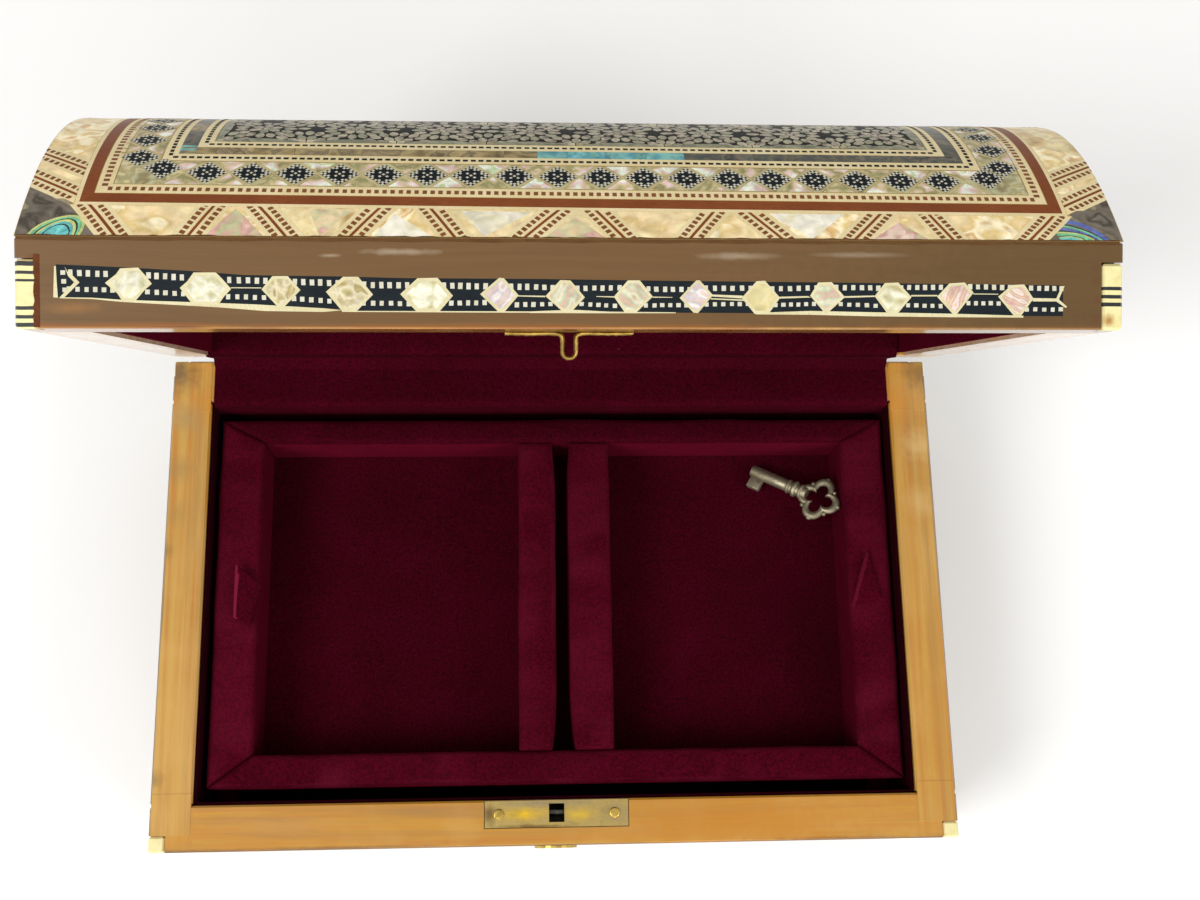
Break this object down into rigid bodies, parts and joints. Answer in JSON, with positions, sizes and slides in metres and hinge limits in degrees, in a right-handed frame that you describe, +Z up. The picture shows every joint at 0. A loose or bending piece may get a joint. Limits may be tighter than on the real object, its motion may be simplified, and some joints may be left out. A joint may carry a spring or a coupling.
{
  "type": "domed-lid jewellery box",
  "caption": "Wooden jewellery box inlaid with mother-of-pearl, its domed lid hinged at the back and open over a velvet tray with a key.",
  "frame": {"origin": "centre of the underside of the body", "axes": "+Z up, +X to the right along the front, +Y to the back, where the lid is hinged"},
  "size_m": [0.2062, 0.1629, 0.1788],
  "materials": {
    "varnished_wood": "golden pale wood under glossy varnish",
    "brown_lacquer": "wood under glossy brown lacquer, inlaid with mother-of-pearl",
    "bone": "yellowed bone with black stripes",
    "velvet": "burgundy short-pile velvet",
    "old_brass": "rubbed, slightly dulled brass",
    "dull_nickel": "worn nickel plating on brass"
  },
  "bodies": {
    "box": {"body_front_board": "varnished_wood", "body_back_board": "varnished_wood", "body_left_board": "varnished_wood", "body_right_board": "varnished_wood", "body_bottom_board": "varnished_wood", "body_corner_strip_front_left": "bone", "body_corner_strip_front_right": "bone", "body_corner_strip_back_left": "bone", "body_corner_strip_back_right": "bone", "body_lining": "velvet", "tray_ledge_left": "velvet", "tray_ledge_right": "velvet", "tray_base": "velvet", "tray_rail_front": "velvet", "tray_rail_back": "velvet", "tray_rail_left": "velvet", "tray_rail_right": "velvet", "tray_rail_middle_left": "velvet", "tray_rail_middle_right": "velvet", "pull_tab_left": "velvet", "pull_tab_right": "velvet", "hinge_cloth_body": "velvet", "lock_plate": "old_brass", "lock_case": "old_brass", "lock_screw_left": "old_brass", "lock_screw_right": "old_brass", "keyhole_escutcheon": "old_brass", "hinge_left_body_leaf": "old_brass", "hinge_right_body_leaf": "old_brass", "hinge_left_pin": "old_brass", "hinge_right_pin": "old_brass", "key": "dull_nickel"},
    "lid": {"lid_front_board": "varnished_wood", "lid_back_board": "varnished_wood", "lid_left_end": "brown_lacquer", "lid_right_end": "brown_lacquer", "lid_top": "brown_lacquer", "lid_corner_strip_front_left": "bone", "lid_corner_strip_front_right": "bone", "lid_corner_strip_back_left": "bone", "lid_corner_strip_back_right": "bone", "lid_lining": "velvet", "strike_plate": "old_brass", "hinge_left_lid_leaf": "old_brass", "hinge_right_lid_leaf": "old_brass", "hinge_cloth_lid": "velvet"}
  },
  "joints": [
    {"name": "lid_hinge", "type": "hinge", "parent": "box", "child": "lid", "pos_m": [0, 0.0643, 0.0506], "axis": [-1, 0, 0], "range_deg": [-74.5, 0]}
  ]
}
